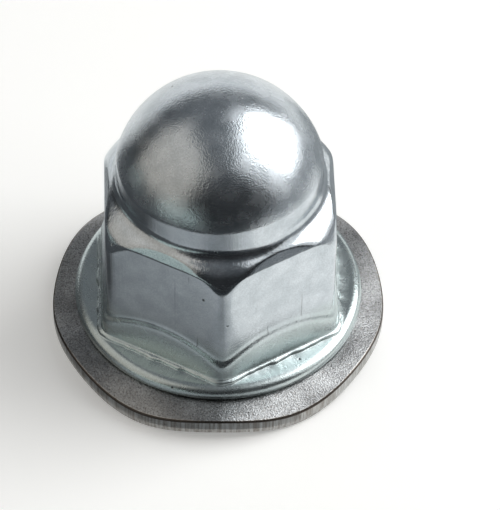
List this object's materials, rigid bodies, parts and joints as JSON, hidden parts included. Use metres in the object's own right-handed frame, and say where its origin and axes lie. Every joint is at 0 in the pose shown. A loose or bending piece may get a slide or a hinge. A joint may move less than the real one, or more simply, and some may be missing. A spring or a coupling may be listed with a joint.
{
  "type": "domed cap nut",
  "caption": "Domed hexagon cap nut with a round flange and a free-turning waved washer held captive under it; it closes and clamps the end of a threaded stud.",
  "frame": {"origin": "centre of the bounding box's bottom, where the drooping waves of the washer's rim touch the ground, on the nut's axis", "axes": "+Z along the nut's axis from the open end to the dome, -Y towards the corner of the hexagon that faces the picture's camera"},
  "size_m": [0.028, 0.028, 0.0258],
  "materials": {
    "bright_zinc": "bright zinc plate with a clear blue passivate, satin on the dome",
    "dark_zinc": "dull grey zinc plate with a sandy grain and a sheared edge"
  },
  "bodies": {
    "nut": {"cap_nut": "bright_zinc"},
    "washer": {"captive_washer": "dark_zinc"}
  },
  "joints": [
    {"name": "washer_spin", "type": "hinge", "parent": "nut", "child": "washer", "pos_m": [0, 0, 0.00205], "axis": [0, 0, 1], "continuous": true}
  ]
}
